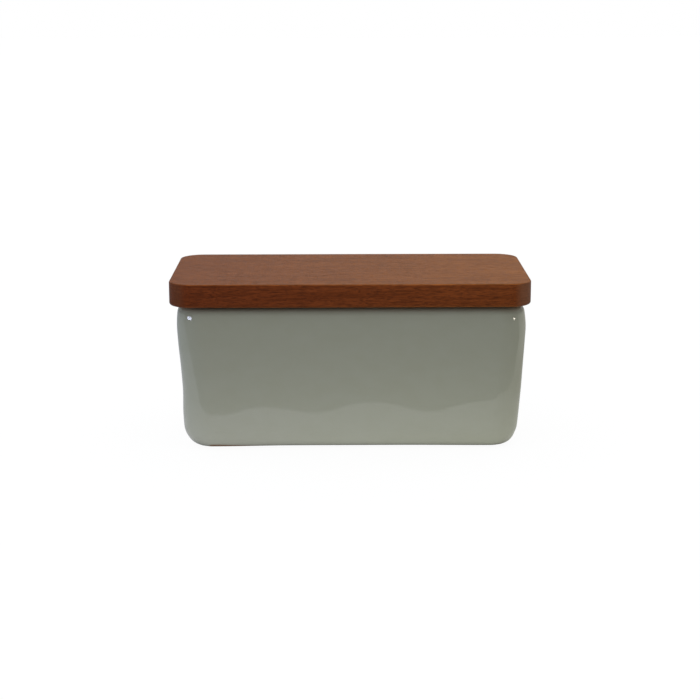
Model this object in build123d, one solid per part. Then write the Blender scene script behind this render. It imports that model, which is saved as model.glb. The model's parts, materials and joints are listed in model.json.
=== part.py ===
from build123d import *
from math import cos, radians, sin, sqrt, tan
import os

# A salt box: a glazed stoneware box whose acacia lid turns on two small steel butt hinges.
# Millimetres. +X is to the right, +Y to the back, +Z up. The origin is on the surface that the
# box stands on, under the middle of the lid.

# Stoneware box. Insets are measured inwards from its widest line.
box_length = 148.0
box_depth = 72.0
box_height = 62.1
box_corner_radius = 12.0      # in plan, at the widest line
widest_drop = 9.0             # rim down to the widest line
wall_lean = 3.2               # degrees outwards, up to the belly
shoulder_lean = 7.0           # degrees inwards, where the belly meets the shoulder
shoulder_radius = 3.2
base_radius = 9.0
base_flat = 0.5               # least flat left at a corner inside the turn
rim_wall = 6.0                # wall thickness at the rim
rim_inner_bevel = 0.7
floor_thickness = 5.0         # above the foot
cavity_corner_radius = 9.0
cavity_draft = 1.5            # degrees
cavity_cove_radius = 5.0
foot_height = 0.5             # unglazed foot, standing below the glazed body
foot_inset = 1.3              # from the edge of the flat base
foot_corner_radius = 7.0
foot_land = 4.5
foot_recess = 1.5
foot_edge = 0.3

# Lid board and its seal
lid_overhang = 2.0            # past the widest line of the box, all round
lid_thickness = 9.9
lid_corner_radius = 10.0
lid_top_arris = 0.5
lid_bottom_arris = 0.8
gasket_thickness = 0.8
gasket_width = 2.0
gasket_clearance = 0.2        # gasket to rim, lid shut

# Butt hinges: two leaves with rolled knuckles on a peened pin
hinge_from_end = 32.0         # end of the lid to the middle of the hinge
hinge_length = 25.0
leaf_thickness = 0.7
box_leaf_reach = 12.0         # from the pin's axis
lid_leaf_reach = 13.0
leaf_corner_radius = 1.0
lid_knuckle_length = 9.0
knuckle_end_gap = 0.12        # between neighbouring knuckles
knuckle_notch_gap = 0.25      # between a knuckle and the edge of the other leaf
roll_seam = 0.15              # slit where the rolled end meets its leaf
pin_diameter = 1.4
pin_running_clearance = 0.05  # radial, in the lid leaf's knuckle
pin_fixed_clearance = 0.02    # radial, in the box leaf's knuckles
pin_head_overhang = 0.35
pin_head_thickness = 0.3

# How the hinges are let in
seat_depth = 1.4              # flat seat in the back wall, from the widest line
seat_margin = 0.8             # round the leaf
seat_corner_radius = 1.5
pad_thickness = 0.4
mortise_clearance = 0.05      # round the lid leaf
barrel_clearance = 0.4        # lid wood to knuckles and pin

# Bolts through the back wall. Hole clearances are radial.
bolt_diameter = 2.5
bolt_head_diameter = 4.7
bolt_head_height = 1.6
bolt_head_chamfer = 0.4
bolt_spacing = 15.0
bolt_edge = 4.8               # from the leaf's lower edge
driver_across_flats = 1.5
driver_depth = 0.9
leaf_hole_clearance = 0.15
pad_hole_clearance = 0.25
stoneware_hole_clearance = 0.55
washer_hole_clearance = 0.1
fibre_washer_diameter = 7.0
fibre_washer_thickness = 0.8
steel_washer_diameter = 6.0
steel_washer_thickness = 0.5
spotface_margin = 0.7         # round the fibre washer
spotface_depth = 0.3          # into the wall, from its inner face at the rim
nut_across_flats = 5.0
nut_hex_height = 2.2
nut_chamfer = 0.3
nut_height = 4.6
nut_crown_inset = 0.3         # crown inside the flats
nut_crown_bevel = 1.1         # along the nut
nut_crown_taper = 0.9         # inwards
nut_end_wall = 1.3            # closed end beyond the bolt
nut_bore_clearance = 0.02

# Countersunk screws up into the lid
screw_diameter = 2.2
screw_head_diameter = 4.0
screw_head_height = 0.9
screw_cover = 1.5             # wood left above the point
screw_point_length = 2.0
screw_point_diameter = 0.6
screw_clearance = 0.02        # radial, in the leaf and the wood
screw_spacing = 15.0
screw_edge = 3.7              # from the leaf's front edge
cross_width = 0.5             # driver recess
cross_length = 2.2
cross_depth = 0.5

# Places that follow from these sizes
lid_length = box_length + 2 * lid_overhang
lid_depth = box_depth + 2 * lid_overhang
lid_underside = box_height + gasket_clearance + gasket_thickness
box_core_x = box_length / 2 - box_corner_radius
box_core_y = box_depth / 2 - box_corner_radius
knuckle_radius = pin_diameter / 2 + pin_running_clearance + leaf_thickness
leaf_edge = knuckle_radius + knuckle_notch_gap
seat_y = box_depth / 2 - seat_depth
leaf_back_y = seat_y + pad_thickness
leaf_face_y = leaf_back_y + leaf_thickness
axis_y = leaf_back_y + knuckle_radius
axis_z = lid_underside + leaf_thickness - knuckle_radius
hinge_xs = {"left": hinge_from_end - lid_length / 2, "right": lid_length / 2 - hinge_from_end}
bolt_drop = box_leaf_reach - bolt_edge
bolt_z = axis_z - bolt_drop
spotface_y = box_depth / 2 - rim_wall + spotface_depth
steel_washer_y = spotface_y - fibre_washer_thickness
nut_y = steel_washer_y - steel_washer_thickness
bolt_end_y = nut_y - nut_height + nut_end_wall
screw_reach = lid_leaf_reach - screw_edge
screw_y = axis_y - screw_reach
screw_length = lid_thickness - screw_cover

# Where a primitive sits on its own origin
from_bottom = (Align.CENTER, Align.CENTER, Align.MIN)
from_front = (Align.CENTER, Align.MIN, Align.MIN)
hanging = (Align.CENTER, Align.MIN, Align.MAX)


def cylinder_x(middle_x, radius, length):
    return Pos(middle_x, 0, 0) * Rot(Y=90) * Cylinder(radius, length)


def cylinder_y(x, front_y, z, radius, length):
    return Pos(x, front_y + length / 2, z) * Rot(X=90) * Cylinder(radius, length)


def pair_xs(middle_x, spacing):
    return [middle_x - spacing / 2, middle_x + spacing / 2]


def swept_block(profile, half_x, half_y, filled=True):
    # Runs a profile (radius, height) along the sides of a rectangle and turns it about each corner.
    long_side = Pos(0, half_y, 0) * extrude(Plane.YZ * profile, half_x, both=True)
    short_side = Pos(half_x, 0, 0) * extrude(Plane.XZ * profile, half_y, both=True)
    corner = Pos(half_x, half_y, 0) * revolve(Plane.XZ * profile, Axis.Z, 90)
    corners = corner + mirror(corner, Plane.XZ)
    block = corners + mirror(corners, Plane.YZ)
    block += long_side + mirror(long_side, Plane.XZ)
    block += short_side + mirror(short_side, Plane.YZ)
    if filled:
        span = profile.bounding_box()
        block += Pos(0, 0, span.center().Y) * Box(2 * half_x, 2 * half_y, span.size.Y)
    return block


# Stoneware box


def wall_lines():
    # The outside, in (radius, height) about a corner: the turn under the base, the leaning wall,
    # the belly with the widest line on it, and the shoulder. Each runs smoothly into the next.
    # The base turn is no larger than the plan corner leaves room for.
    lean = radians(wall_lean)
    tilt = radians(shoulder_lean)
    belly_radius = (widest_drop - shoulder_radius * (1 - sin(tilt))) / sin(tilt)
    belly_x = box_corner_radius - belly_radius * (1 - cos(lean))
    belly_z = box_height - widest_drop - belly_radius * sin(lean)
    room = belly_x - (belly_z - foot_height) * tan(lean) - base_flat
    turn_radius = min(base_radius, room * cos(lean) / (1 - sin(lean)))
    turn_end_z = foot_height + turn_radius * (1 - sin(lean))
    turn_end_x = belly_x - (belly_z - turn_end_z) * tan(lean)
    flat_edge = turn_end_x - turn_radius * cos(lean)
    base = JernArc((flat_edge, foot_height), (1, 0), turn_radius, 90 - wall_lean)
    wall = Line(base @ 1, (belly_x, belly_z))
    belly = JernArc(wall @ 1, wall % 1, belly_radius, wall_lean + shoulder_lean)
    shoulder = JernArc(belly @ 1, belly % 1, shoulder_radius, 90 - shoulder_lean)
    return [base, wall, belly, shoulder]


def outer_profile():
    lines = wall_lines()
    underside = Line((0, foot_height), lines[0] @ 0)
    rim = Line(lines[-1] @ 1, (0, box_height))
    middle = Line((0, box_height), (0, foot_height))
    return make_face([underside, *lines, rim, middle])


def cavity_profile():
    # From the floor up to the bevelled inner edge of the rim.
    floor_z = foot_height + floor_thickness
    edge_z = box_height - rim_inner_bevel
    floor_radius = cavity_corner_radius - (edge_z - floor_z) * tan(radians(cavity_draft))
    corners = [(0, floor_z), (floor_radius, floor_z), (cavity_corner_radius, edge_z)]
    wall = FilletPolyline(corners, radius=cavity_cove_radius)
    bevel = Line(wall @ 1, (cavity_corner_radius + rim_inner_bevel, box_height))
    top = Line(bevel @ 1, (0, box_height))
    middle = Line((0, box_height), (0, floor_z))
    return make_face([wall, bevel, top, middle])


def foot_outline(inset):
    flat_edge = (wall_lines()[0] @ 0).X
    length = 2 * (box_core_x + flat_edge - inset)
    depth = 2 * (box_core_y + flat_edge - inset)
    return RectangleRounded(length, depth, foot_corner_radius + foot_inset - inset)


def hinge_seat(middle_x):
    # The flat that the back wall is moulded with, open at the rim.
    width = hinge_length + 2 * seat_margin
    bottom = axis_z - box_leaf_reach - seat_margin
    outline = RectangleRounded(width, 2 * (box_height - bottom), seat_corner_radius)
    return Pos(middle_x, seat_y, box_height) * extrude(Plane.XZ * outline, -2 * seat_depth)


def stoneware_box():
    box = swept_block(outer_profile(), box_core_x, box_core_y)
    ring = extrude(foot_outline(foot_inset), 2 * foot_height)
    box += chamfer(ring.edges().group_by(Axis.Z)[0], foot_edge)
    box -= extrude(foot_outline(foot_inset + foot_land), foot_recess)
    cavity_core_x = box_length / 2 - rim_wall - cavity_corner_radius
    cavity_core_y = box_depth / 2 - rim_wall - cavity_corner_radius
    box -= swept_block(cavity_profile(), cavity_core_x, cavity_core_y)
    hole_radius = bolt_diameter / 2 + stoneware_hole_clearance
    spotface_radius = fibre_washer_diameter / 2 + spotface_margin
    for middle_x in hinge_xs.values():
        box -= hinge_seat(middle_x)
        for x in pair_xs(middle_x, bolt_spacing):
            box -= cylinder_y(x, 0, bolt_z, hole_radius, box_depth)
            box -= cylinder_y(x, 0, bolt_z, spotface_radius, spotface_y)
    return box


# Lid


def lid_mortise(middle_x):
    # A bed as deep as the leaf, and behind it a channel that clears the turning knuckles.
    bed_y = axis_y - lid_leaf_reach - mortise_clearance
    bed_width = hinge_length + 2 * mortise_clearance
    bed = Box(bed_width, lid_depth / 2 - bed_y, leaf_thickness, align=from_front)
    front_corners = bed.edges().filter_by(Axis.Z).group_by(Axis.Y)[0]
    bed = fillet(front_corners, leaf_corner_radius)
    channel_y = axis_y - knuckle_radius - barrel_clearance
    channel_width = hinge_length + 2 * (pin_head_thickness + barrel_clearance)
    channel_depth = leaf_thickness + barrel_clearance
    channel = Box(channel_width, lid_depth / 2 - channel_y, channel_depth, align=from_front)
    mortise = Pos(middle_x, bed_y, lid_underside) * bed
    return mortise + Pos(middle_x, channel_y, lid_underside) * channel


def lid_board():
    board = extrude(RectangleRounded(lid_length, lid_depth, lid_corner_radius), lid_thickness)
    board = chamfer(board.edges().group_by(Axis.Z)[-1], lid_top_arris)
    board = chamfer(board.edges().group_by(Axis.Z)[0], lid_bottom_arris)
    board = Pos(0, 0, lid_underside) * board
    for middle_x in hinge_xs.values():
        board -= lid_mortise(middle_x)
        for x in pair_xs(middle_x, screw_spacing):
            board -= screw_hole(x)
    return board


def lid_gasket():
    # A flat ring under the lid, over the flat of the rim.
    land_outer = (wall_lines()[-1] @ 1).X
    land_inner = box_corner_radius - rim_wall + rim_inner_bevel
    outer_radius = (land_outer + land_inner + gasket_width) / 2
    section = Rectangle(gasket_width, gasket_thickness, align=(Align.MAX, Align.MAX))
    section = Pos(outer_radius, lid_underside) * section
    return swept_block(section, box_core_x, box_core_y, filled=False)


# Hinges


def hinge_leaf(reach, knuckles, clearance, hole_spacing, hole_reach, hole_radius):
    # The barrel's axis is X. The plate hangs down -Z, on the -Y side of the barrel. Each tab of
    # it is rolled over the top of the pin and back under it.
    plate = Box(hinge_length, leaf_thickness, reach - leaf_edge, align=hanging)
    lower_corners = plate.edges().filter_by(Axis.Y).group_by(Axis.Z)[0]
    leaf = Pos(0, -knuckle_radius, -leaf_edge) * fillet(lower_corners, leaf_corner_radius)
    for middle_x, length in knuckles:
        tab = Box(length, leaf_thickness, leaf_edge, align=hanging)
        seam = Box(length, roll_seam, knuckle_radius, align=hanging)
        roll = cylinder_x(middle_x, knuckle_radius, length)
        roll -= Pos(middle_x, leaf_thickness - knuckle_radius, 0) * seam
        leaf += roll + Pos(middle_x, -knuckle_radius, 0) * tab
    leaf -= cylinder_x(0, pin_diameter / 2 + clearance, hinge_length)
    for x in pair_xs(0, hole_spacing):
        leaf -= cylinder_y(x, -knuckle_radius, -hole_reach, hole_radius, leaf_thickness)
    return leaf


def box_leaf(middle_x):
    length = (hinge_length - lid_knuckle_length) / 2 - knuckle_end_gap
    outer_x = (hinge_length - length) / 2
    knuckles = [(-outer_x, length), (outer_x, length)]
    hole_radius = bolt_diameter / 2 + leaf_hole_clearance
    leaf = hinge_leaf(
        box_leaf_reach, knuckles, pin_fixed_clearance, bolt_spacing, bolt_drop, hole_radius
    )
    return Pos(middle_x, axis_y, axis_z) * leaf


def lid_leaf(middle_x):
    # The same leaf turned forwards, so that its plate lies flush in the lid.
    knuckles = [(0, lid_knuckle_length)]
    hole_radius = screw_diameter / 2 + screw_clearance
    leaf = hinge_leaf(
        lid_leaf_reach, knuckles, pin_running_clearance, screw_spacing, screw_reach, hole_radius
    )
    leaf = Pos(middle_x, axis_y, axis_z) * Rot(X=-90) * leaf
    for x in pair_xs(middle_x, screw_spacing):
        leaf -= screw_hole(x)
    return leaf


def hinge_pin(middle_x):
    pin = cylinder_x(0, pin_diameter / 2, hinge_length)
    head_x = (hinge_length + pin_head_thickness) / 2
    head = cylinder_x(head_x, pin_diameter / 2 + pin_head_overhang, pin_head_thickness)
    head = chamfer(head.edges().sort_by(Axis.X)[-1], pin_head_thickness / 2)
    pin += head + mirror(head, Plane.YZ)
    return Pos(middle_x, axis_y, axis_z) * pin


def hinge_pad(middle_x):
    # A thin pad that keeps the steel off the glaze, cut to the plate's outline.
    pad = Box(hinge_length, pad_thickness, box_leaf_reach - leaf_edge, align=hanging)
    lower_corners = pad.edges().filter_by(Axis.Y).group_by(Axis.Z)[0]
    pad = Pos(middle_x, seat_y, axis_z - leaf_edge) * fillet(lower_corners, leaf_corner_radius)
    hole_radius = bolt_diameter / 2 + pad_hole_clearance
    for x in pair_xs(middle_x, bolt_spacing):
        pad -= cylinder_y(x, seat_y, bolt_z, hole_radius, pad_thickness)
    return pad


# Fasteners


def hexagon(across_flats):
    return RegularPolygon(across_flats / 2, 6, major_radius=False)


def box_bolt(x):
    # A low head on the leaf, and the shank running forward through the wall.
    length = leaf_face_y - bolt_end_y
    shank = cylinder_y(x, bolt_end_y, bolt_z, bolt_diameter / 2, length)
    head = cylinder_y(x, leaf_face_y, bolt_z, bolt_head_diameter / 2, bolt_head_height)
    head = chamfer(head.edges().sort_by(Axis.Y)[-1], bolt_head_chamfer)
    socket = extrude(Plane.XZ * hexagon(driver_across_flats), driver_depth)
    return shank + head - Pos(x, leaf_face_y + bolt_head_height, bolt_z) * socket


def washer(x, back_y, diameter, thickness):
    hole_radius = bolt_diameter / 2 + washer_hole_clearance
    ring = cylinder_y(x, back_y - thickness, bolt_z, diameter / 2, thickness)
    return ring - cylinder_y(x, back_y - thickness, bolt_z, hole_radius, thickness)


def fibre_washer(x):
    return washer(x, spotface_y, fibre_washer_diameter, fibre_washer_thickness)


def steel_washer(x):
    return washer(x, steel_washer_y, steel_washer_diameter, steel_washer_thickness)


def cap_nut(x):
    # A hexagon that runs into a closed crown, over a bore that stops short of it.
    corner_radius = nut_across_flats / sqrt(3)
    blank = Cylinder(corner_radius, nut_hex_height, align=from_bottom)
    blank = chamfer(blank.edges().sort_by(Axis.Z)[-1], nut_chamfer)
    nut = blank & extrude(hexagon(nut_across_flats), nut_hex_height)
    crown_radius = nut_across_flats / 2 - nut_crown_inset
    crown = Cylinder(crown_radius, nut_height, align=from_bottom)
    crown_edge = crown.edges().sort_by(Axis.Z)[-1]
    crown_top = crown.faces().sort_by(Axis.Z)[-1]
    nut += chamfer(crown_edge, nut_crown_taper, nut_crown_bevel, reference=crown_top)
    bore_radius = bolt_diameter / 2 + nut_bore_clearance
    bore_depth = nut_height - nut_end_wall + nut_bore_clearance
    nut -= Cylinder(bore_radius, bore_depth, align=from_bottom)
    return Pos(x, nut_y, bolt_z) * Rot(X=90) * nut


def screw_hole(x):
    # Countersunk for the head, then a flat-bottomed bore as long as the screw.
    bore_radius = screw_diameter / 2 + screw_clearance
    mouth_radius = screw_head_diameter / 2 + screw_clearance
    hole = Cylinder(bore_radius, screw_length + screw_clearance, align=from_bottom)
    hole += Cone(mouth_radius, bore_radius, screw_head_height, align=from_bottom)
    return Pos(x, screw_y, lid_underside) * hole


def lid_screw(x):
    # Upright in the lid: a flush countersunk head below, then the shank and the point.
    outline = Polyline(
        (0, 0),
        (screw_head_diameter / 2, 0),
        (screw_diameter / 2, screw_head_height),
        (screw_diameter / 2, screw_length - screw_point_length),
        (screw_point_diameter / 2, screw_length),
        (0, screw_length),
        close=True,
    )
    screw = revolve(Plane.XZ * make_face(outline), Axis.Z)
    slot = Box(cross_length, cross_width, cross_depth, align=from_bottom)
    screw -= slot + Rot(Z=90) * slot
    return Pos(x, screw_y, lid_underside) * screw


parts = {
    "stoneware_box": [stoneware_box()],
    "lid_board": [lid_board()],
    "lid_gasket": [lid_gasket()],
}
for side, middle_x in hinge_xs.items():
    bolt_xs = pair_xs(middle_x, bolt_spacing)
    screw_xs = pair_xs(middle_x, screw_spacing)
    parts[side + "_hinge_box_leaf"] = [box_leaf(middle_x)]
    parts[side + "_hinge_lid_leaf"] = [lid_leaf(middle_x)]
    parts[side + "_hinge_pin"] = [hinge_pin(middle_x)]
    parts[side + "_hinge_pad"] = [hinge_pad(middle_x)]
    parts[side + "_box_bolts"] = [box_bolt(x) for x in bolt_xs]
    parts[side + "_fibre_washers"] = [fibre_washer(x) for x in bolt_xs]
    parts[side + "_steel_washers"] = [steel_washer(x) for x in bolt_xs]
    parts[side + "_cap_nuts"] = [cap_nut(x) for x in bolt_xs]
    parts[side + "_lid_screws"] = [lid_screw(x) for x in screw_xs]

os.makedirs("parts", exist_ok=True)
for name, pieces in parts.items():
    solids = [solid for piece in pieces for solid in piece.solids()]
    export_step(Compound(children=solids), os.path.join("parts", name + ".step"))
    print(name, len(solids), "solids,", round(sum(solid.volume for solid in solids), 1), "mm3")
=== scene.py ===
import json
import math
from functools import partial

import bpy
import bmesh
from mathutils import Matrix, Vector


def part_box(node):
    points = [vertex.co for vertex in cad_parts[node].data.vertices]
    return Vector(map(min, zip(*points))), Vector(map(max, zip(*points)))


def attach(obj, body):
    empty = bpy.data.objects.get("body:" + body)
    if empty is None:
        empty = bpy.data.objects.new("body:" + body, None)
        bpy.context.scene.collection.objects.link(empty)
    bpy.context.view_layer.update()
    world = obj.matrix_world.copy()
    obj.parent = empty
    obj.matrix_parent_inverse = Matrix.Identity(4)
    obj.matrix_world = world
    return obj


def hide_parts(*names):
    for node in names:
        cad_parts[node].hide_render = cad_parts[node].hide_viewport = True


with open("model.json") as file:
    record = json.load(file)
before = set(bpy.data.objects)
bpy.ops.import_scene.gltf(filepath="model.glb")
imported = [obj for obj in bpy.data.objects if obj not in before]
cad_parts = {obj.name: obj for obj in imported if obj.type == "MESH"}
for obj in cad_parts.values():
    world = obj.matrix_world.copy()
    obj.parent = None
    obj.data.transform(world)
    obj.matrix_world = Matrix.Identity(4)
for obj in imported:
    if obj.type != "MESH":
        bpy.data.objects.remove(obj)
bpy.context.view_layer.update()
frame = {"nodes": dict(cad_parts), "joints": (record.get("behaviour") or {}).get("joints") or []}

# Sizes in the dictionaries are millimetres and degrees unless a note says otherwise.
# The frame and every mesh are in metres.
mm = 0.001
boxLow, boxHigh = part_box("stoneware_box")
lidLow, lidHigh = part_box("lid_board")
gasketLow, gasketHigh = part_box("lid_gasket")
pinBack, pinHeight = (place / mm for place in frame["joints"][0]["pos_m"][1:])


# small tools shared by every piece

def linearColour(hexCode):
    # sRGB hex to the linear values that Blender works in
    channels = [int(hexCode[i:i + 2], 16) / 255 for i in (1, 3, 5)]
    linear = [c / 12.92 if c <= 0.04045 else ((c + 0.055) / 1.055) ** 2.4 for c in channels]
    return (*linear, 1.0)


def addNode(tree, kind, inputs=None, stops=(), **settings):
    # One node with its settings, its inputs as values or links, and a colour ramp's stops as
    # (place, hex). A node given as an input is linked from its first output in use, and a shader
    # node's kind is what follows ShaderNode.
    made = tree.nodes.new(kind if "Node" in kind else "ShaderNode" + kind)
    for name, value in settings.items():
        setattr(made, name, value)
    for name, value in (inputs or {}).items():
        if isinstance(value, bpy.types.Node):
            value = next(output for output in value.outputs if output.enabled)
        if isinstance(value, bpy.types.NodeSocket):
            tree.links.new(value, made.inputs[name])
        else:
            made.inputs[name].default_value = value
    if stops:
        elements = made.color_ramp.elements
        while len(elements) < len(stops):
            elements.new(0.5)
        for element, (place, code) in zip(elements, stops):
            element.position = place
            element.color = linearColour(code)
    return made


def startMaterial(name):
    # an empty material, what adds nodes to it, and the places on the object
    made = bpy.data.materials.new(name)
    made.use_nodes = True
    made.node_tree.nodes.clear()
    add = partial(addNode, made.node_tree)
    return made, add, add("TexCoord").outputs["Object"]


def finishMaterial(made, add, relief, depth, inputs):
    # the shader, with its relief as bumps of this depth in millimetres
    bump = add("Bump", {"Height": relief, "Distance": depth * mm})
    shader = add("BsdfPrincipled", {**inputs, "Normal": bump})
    add("OutputMaterial", {"Surface": shader})
    return made


def perMetre(cells):
    # a Mapping node's scale, from a pattern's cells per millimetre along X, Y and Z
    return [each / mm for each in cells]


def smooth(mesh, sharpFrom=30):
    mesh.shade_smooth()
    mesh.set_sharp_from_angle(angle=math.radians(sharpFrom))


def looseObject(name, mesh):
    made = bpy.data.objects.new(name, mesh)
    bpy.context.scene.collection.objects.link(made)
    return made


def settle(piece, body, finish, nodes):
    # gives a finished mesh its material, and tells the frame what it rides on and stands for
    if finish is not None:
        piece.data.materials.clear()
        piece.data.materials.append(finish)
    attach(piece, body)
    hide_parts(*nodes)
    return piece


def evaluated(holder):
    # the mesh that an object's modifiers leave
    graph = bpy.context.evaluated_depsgraph_get()
    return bpy.data.meshes.new_from_object(holder.evaluated_get(graph))


def steadied(mesh):
    # a copy whose large faces are shaded flat, up to where they turn into a broken edge
    holder = looseObject("steadied", mesh)
    modifier = holder.modifiers.new("by area", "WEIGHTED_NORMAL")
    modifier.keep_sharp = True
    modifier.weight = 95
    baked = evaluated(holder)
    bpy.data.objects.remove(holder)
    bpy.data.meshes.remove(mesh)
    return baked


def cutAway(piece, cutters):
    # takes every cutter out of the piece, and bakes the result into its mesh
    for cutter in cutters:
        modifier = piece.modifiers.new("cut", "BOOLEAN")
        modifier.operation = "DIFFERENCE"
        modifier.solver = "EXACT"
        modifier.object = cutter
    baked = evaluated(piece)
    piece.modifiers.clear()
    old = piece.data
    piece.data = baked
    bpy.data.meshes.remove(old)
    for cutter in cutters:
        bpy.data.objects.remove(cutter)


def arc(centre, radius, start, end, pieces):
    # points on an arc, angles in degrees from +radius towards +height
    angles = [math.radians(start + (end - start) * i / pieces) for i in range(pieces + 1)]
    return [(centre[0] + radius * math.cos(a), centre[1] + radius * math.sin(a)) for a in angles]


def line(start, end, pieces):
    # points between two ends, without the ends
    return [(start[0] + (end[0] - start[0]) * i / pieces, start[1] + (end[1] - start[1]) * i / pieces)
            for i in range(1, pieces)]


def circle(radius, height, pieces):
    return arc((0, height), radius, 0, 360, pieces)[:-1]


def roundedEnd(half, front, corner, back):
    # an outline open to the back: two rounded corners at the front, and straight sides
    side = [(half, back)] + arc((half - corner, front + corner), corner, 0, -90, 6)
    return side + [(-x, y) for x, y in reversed(side)]


def skin(name, points, count, closed):
    # a mesh over equal rings of points, given in millimetres; its ends are capped unless closed
    rings = len(points) // count
    faces = []
    for r in range(rings if closed else rings - 1):
        low, high = r * count, (r + 1) % rings * count
        faces += [(low + i, low + (i + 1) % count, high + (i + 1) % count, high + i)
                  for i in range(count)]
    if not closed:
        faces.append(tuple(reversed(range(count))))
        faces.append(tuple(range((rings - 1) * count, rings * count)))
    mesh = bpy.data.meshes.new(name)
    mesh.from_pydata([Vector(p) * mm for p in points], [], faces)
    mesh.update()
    return mesh


def prism(name, outline, along, start, end, middleX=0.0):
    # an outline in X and the other way, drawn out along Y or Z from start to end
    points = []
    for place in (start, end):
        for x, other in outline:
            points.append((middleX + x, place, other) if along == "Y" else (middleX + x, other, place))
    mesh = skin(name, points, len(outline), False)
    work = bmesh.new()
    work.from_mesh(mesh)
    bmesh.ops.recalc_face_normals(work, faces=work.faces)
    work.to_mesh(mesh)
    work.free()
    return looseObject(name, mesh)


def ringStations(length, depth, radius, step, turns):
    # where a profile stands round a rounded rectangle, counter-clockwise from the front's left
    # end: the centre that it turns about, and the way outwards
    halfX, halfY = length / 2 - radius, depth / 2 - radius
    stations = []
    sides = (((-halfX, -halfY), (halfX, -halfY), -90), ((halfX, -halfY), (halfX, halfY), 0),
             ((halfX, halfY), (-halfX, halfY), 90), ((-halfX, halfY), (-halfX, -halfY), 180))
    for (start, end, facing), pieces in zip(sides, (step[0], step[1], step[0], step[1])):
        way = math.radians(facing)
        for i in range(pieces):
            t = i / pieces
            centre = (start[0] + (end[0] - start[0]) * t, start[1] + (end[1] - start[1]) * t)
            stations.append((*centre, math.cos(way), math.sin(way)))
        for i in range(turns):
            turn = way + math.pi / 2 * i / turns
            stations.append((*end, math.cos(turn), math.sin(turn)))
    return stations


def sweptShell(name, rings, closed=False):
    # rings: (stations, radius, height) from the first cap to the last
    points = [(cx + nx * radius, cy + ny * radius, height)
              for stations, radius, height in rings for cx, cy, nx, ny in stations]
    return skin(name, points, len(rings[0][0]), closed)


capStep = 1.0       # a flat face gets one more ring this far inside its edge


def turned(name, rows, closed=False, columns=48):
    # rows: (radius, height) or (radius, height, across flats) about Z, where a hexagon of that
    # size is kept within the radius
    points = []
    for radius, height, *hexagon in rows:
        for i in range(columns):
            turn = 2 * math.pi * i / columns
            reach = radius
            if hexagon:
                aside = (turn + math.pi / 6) % (math.pi / 3) - math.pi / 6
                reach = min(radius, hexagon[0] / 2 / math.cos(aside))
            points.append((reach * math.cos(turn), reach * math.sin(turn), height))
    return skin(name, points, columns, closed)


# Materials, named by what each thing is made of and how its surface was made. Their patterns are
# in cells per millimetre, as one number or along X, Y and Z.

glaze = {
    "thin": "#989A8C", "thick": "#969889", "ior": 1.52, "roughness": 0.03,
    "clouds": (0.11, 0.11, 0.15),            # 9 mm across and 7 mm high
    "specks": 0.35, "speck": "#5E5A4C",      # iron specks about 3 mm apart, which fade out over
    "speckFrom": 0.03, "speckTo": 0.07,      # these shares of that: 0.3 mm across
    "speckStrength": 0.12,
    "peel": 0.9, "peelDepth": 0.006,         # shallow ripples about 1 mm across
    "bisque": "#8A6D55", "bisqueDark": "#6A5340", "bisqueRoughness": 0.85,
    "grain": 8.0,                            # grit of 0.13 mm in the bare clay
    "lineLow": 0.5, "lineHigh": 0.8,         # the glaze was wiped off between these heights,
    "lineWander": 0.3,                       # lower by up to this,
    "wipedRise": 1.7,                        # and this much higher at one corner, which fades
    "wipedAt": (-61.5, -59.5), "wipedTo": (-56.0, -26.0),    # in and out over these X
}


def glazeOnStoneware():
    # celadon-grey glaze, dipped and fired: a glassy coat over a soft, slightly clouded colour
    made, add, place = startMaterial("dipped celadon glaze on stoneware")
    parts = add("SeparateXYZ", {"Vector": place}).outputs
    scaled = add("Mapping", {"Vector": place, "Scale": perMetre(glaze["clouds"])})
    clouds = add("TexNoise", {"Vector": scaled, "Scale": 1.0, "Detail": 3.0, "Roughness": 0.55})
    body = add("ValToRGB", {"Fac": clouds}, stops=((0.3, glaze["thick"]), (0.7, glaze["thin"])))
    specks = add("TexVoronoi", {"Vector": place, "Scale": glaze["specks"] / mm})
    dot = add("MapRange", {
        "Value": specks, "From Min": glaze["speckFrom"], "From Max": glaze["speckTo"],
        "To Min": glaze["speckStrength"], "To Max": 0.0})
    dotted = add("Mix", {"Factor": dot, "A": body, "B": linearColour(glaze["speck"])}, data_type="RGBA")
    grain = add("TexNoise", {"Vector": place, "Scale": glaze["grain"] / mm, "Detail": 2.0})
    bisque = add("ValToRGB", {"Fac": grain}, stops=((0.3, glaze["bisqueDark"]), (0.7, glaze["bisque"])))
    wander = add("Math", {0: grain, 1: glaze["lineWander"] * mm}, operation="MULTIPLY")
    fades = []
    for (start, end), low in ((glaze["wipedAt"], 0.0), (glaze["wipedTo"], 1.0)):
        fades.append(add("MapRange", {
            "Value": parts["X"], "From Min": start * mm, "From Max": end * mm,
            "To Min": low, "To Max": 1.0 - low}))
    wiped = add("Math", {0: fades[0], 1: fades[1]}, operation="MINIMUM")
    lowered = add("Math", {
        0: wiped, 1: -glaze["wipedRise"] * mm, 2: parts["Z"]}, operation="MULTIPLY_ADD")
    waterline = add("Math", {0: lowered, 1: wander}, operation="ADD")
    glazed = add("MapRange", {      # 0 on the bare foot, 1 on the glaze
        "Value": waterline, "From Min": glaze["lineLow"] * mm, "From Max": glaze["lineHigh"] * mm})
    colour = add("Mix", {"Factor": glazed, "A": bisque, "B": dotted}, data_type="RGBA")
    roughness = add("MapRange", {
        "Value": glazed, "To Min": glaze["bisqueRoughness"], "To Max": glaze["roughness"]})
    peel = add("TexNoise", {"Vector": place, "Scale": glaze["peel"] / mm, "Detail": 1.0})
    return finishMaterial(made, add, peel, glaze["peelDepth"], {
        "Base Color": colour, "Roughness": roughness, "IOR": glaze["ior"]})


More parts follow.
